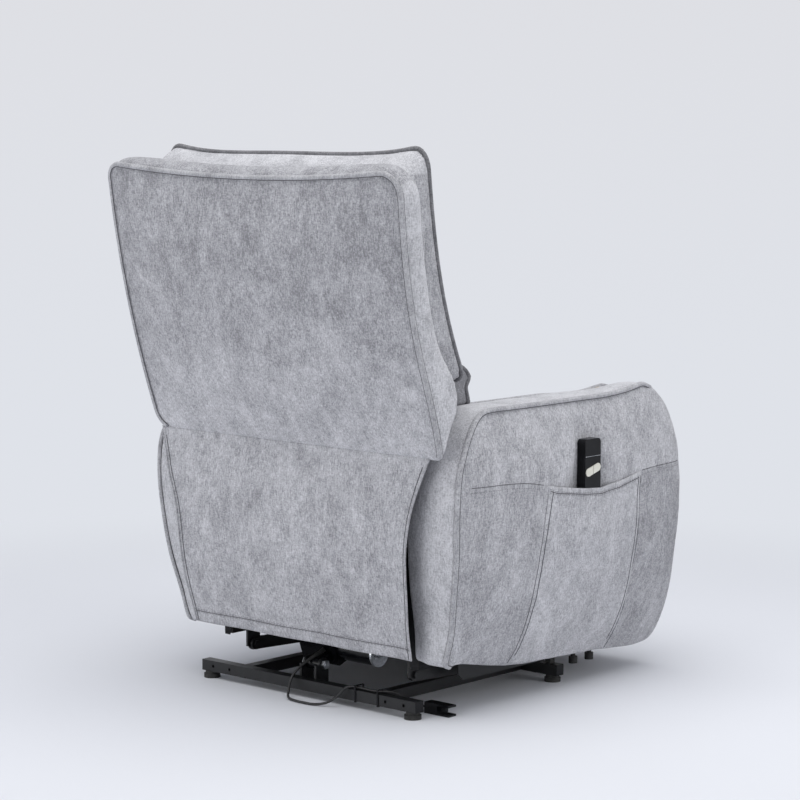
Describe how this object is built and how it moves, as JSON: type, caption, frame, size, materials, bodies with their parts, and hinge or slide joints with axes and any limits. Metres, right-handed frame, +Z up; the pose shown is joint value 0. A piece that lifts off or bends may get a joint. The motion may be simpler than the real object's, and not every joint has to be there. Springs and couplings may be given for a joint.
{
  "type": "lift recliner chair",
  "caption": "Upholstered powered lift chair with a reclining back, a folding footrest, a side pocket with a wired handset and a steel lift base.",
  "frame": {"origin": "on the floor, below the middle of the chair", "axes": "+Z up, -Y towards the front of the seat, +X towards the sitter's left arm"},
  "size_m": [0.8295, 0.8753, 1.074],
  "materials": {
    "chenille": "light grey woven chenille",
    "plywood": "plain sanded",
    "black_paint": "satin powder coat",
    "zinc_steel": "zinc plated",
    "bare_steel": "ground",
    "black_plastic": "moulded",
    "black_rubber": "moulded",
    "cable_sheath": "soft sheath",
    "button_plastic": "moulded"
  },
  "bodies": {
    "base": {"base_rear_rail": "black_paint", "base_side_rails": "black_paint", "base_front_rail": "black_paint", "rail_end_caps": "black_plastic", "rubber_feet": "black_rubber", "rest_pads": "black_rubber", "actuator_clevis": "black_paint", "clevis_bolt": "zinc_steel", "lift_pivot_brackets": "black_paint", "lift_base_bolts": "zinc_steel", "power_lead": "cable_sheath", "lead_ties": "black_plastic", "lead_connector": "black_plastic"},
    "rear_lift_arms": {"rear_lift_links": "black_paint", "lift_torque_tube": "black_paint", "drive_crank": "black_paint", "crank_pin": "zinc_steel"},
    "front_lift_arms": {"front_lift_links": "black_paint"},
    "actuator": {"gearbox_housing": "black_plastic", "motor": "black_plastic", "motor_end_cap": "zinc_steel", "actuator_tube": "bare_steel"},
    "actuator_rod": {"actuator_rod": "bare_steel"},
    "chair": {"lift_frame_rails": "black_paint", "lift_cross_tubes": "black_paint", "lift_pivot_plates": "black_paint", "lift_frame_bolts": "zinc_steel", "frame_bumpers": "black_rubber", "seat_side_boards": "plywood", "seat_cross_boards": "plywood", "seat_springs": "zinc_steel", "seat_cushion": "chenille", "left_arm_inner_pad": "chenille", "left_arm_frame": "plywood", "left_arm_cover": "chenille", "right_arm_inner_pad": "chenille", "right_arm_frame": "plywood", "right_arm_cover": "chenille", "side_pocket": "chenille", "rear_drape": "chenille", "recline_brackets": "black_paint", "recline_bolts": "zinc_steel", "footrest_side_plates": "black_paint"},
    "back": {"back_hinge_arms": "black_paint", "back_posts": "plywood", "back_rails": "plywood", "back_rear_cover": "chenille", "lumbar_cushion": "chenille", "head_pillow": "chenille"},
    "swing_links": {"swing_links": "black_paint"},
    "stay_links": {"stay_links": "black_paint"},
    "carrier_links": {"carrier_links": "black_paint"},
    "top_links": {"top_links": "black_paint"},
    "footrest": {"footrest_brackets": "black_paint", "footrest_board": "plywood", "footrest_pad": "chenille"},
    "handset": {"handset_body": "black_plastic"},
    "raise_button": {"raise_button": "button_plastic"},
    "lower_button": {"lower_button": "button_plastic"}
  },
  "joints": [
    {"name": "lift", "type": "hinge", "parent": "base", "child": "rear_lift_arms", "pos_m": [0, -0.078, 0.092], "axis": [1, 0, 0], "range_deg": [0, 40]},
    {"name": "lift_front_arms", "type": "hinge", "parent": "base", "child": "front_lift_arms", "pos_m": [0, -0.116, 0.084], "axis": [1, 0, 0], "range_deg": [0, 47.8]},
    {"name": "lift_chair_tilt", "type": "hinge", "parent": "rear_lift_arms", "child": "chair", "pos_m": [0, 0.205, 0.067], "axis": [1, 0, 0], "range_deg": [-18.1, 0]},
    {"name": "lift_actuator_swing", "type": "hinge", "parent": "base", "child": "actuator", "pos_m": [0, 0.236, 0.061], "axis": [1, 0, 0], "range_deg": [0, 3.2]},
    {"name": "lift_actuator_rod", "type": "slide", "parent": "actuator", "child": "actuator_rod", "axis": [0, -0.9397, 0.342], "range_m": [0, 0.052]},
    {"name": "back_recline", "type": "hinge", "parent": "chair", "child": "back", "pos_m": [0, 0.215, 0.36], "axis": [-1, 0, 0], "range_deg": [0, 32], "deforming": ["rear_drape"]},
    {"name": "footrest", "type": "hinge", "parent": "chair", "child": "swing_links", "pos_m": [0, -0.29, 0.262], "axis": [-1, 0, 0], "range_deg": [0, 95]},
    {"name": "footrest_stay", "type": "hinge", "parent": "chair", "child": "stay_links", "pos_m": [0, -0.24, 0.262], "axis": [-1, 0, 0], "range_deg": [0, 95.2]},
    {"name": "footrest_carrier", "type": "hinge", "parent": "swing_links", "child": "carrier_links", "pos_m": [0, -0.20548, 0.08074], "axis": [-1, 0, 0], "range_deg": [-95.2, 0]},
    {"name": "footrest_top_link", "type": "hinge", "parent": "stay_links", "child": "top_links", "pos_m": [0, -0.18083, 0.13512], "axis": [-1, 0, 0], "range_deg": [-95.2, 0]},
    {"name": "footrest_pad_tilt", "type": "hinge", "parent": "carrier_links", "child": "footrest", "pos_m": [0, -0.35, 0.22774], "axis": [-1, 0, 0], "range_deg": [0, 95.2]},
    {"name": "handset_lift_out", "type": "slide", "parent": "chair", "child": "handset", "axis": [0, 0, 1], "range_m": [0, 0.17]},
    {"name": "raise_button_press", "type": "slide", "parent": "handset", "child": "raise_button", "axis": [1, 0, 0], "range_m": [0, 0.0012], "stiffness_N_per_m": 300, "springref_m": -0.0008},
    {"name": "lower_button_press", "type": "slide", "parent": "handset", "child": "lower_button", "axis": [1, 0, 0], "range_m": [0, 0.0012], "stiffness_N_per_m": 300, "springref_m": -0.0008}
  ],
  "couplings": [
    {"joint": "lift_front_arms", "follows": "lift", "ratio": 1.1909},
    {"joint": "lift_chair_tilt", "follows": "lift", "ratio": -0.45},
    {"joint": "lift_actuator_swing", "follows": "lift", "ratio": 0.0766},
    {"joint": "lift_actuator_rod", "follows": "lift", "m_per_rad": 0.07317},
    {"joint": "footrest_stay", "follows": "footrest", "ratio": 1},
    {"joint": "footrest_carrier", "follows": "footrest", "ratio": -1},
    {"joint": "footrest_top_link", "follows": "footrest", "ratio": -1},
    {"joint": "footrest_pad_tilt", "follows": "footrest", "ratio": 1}
  ]
}
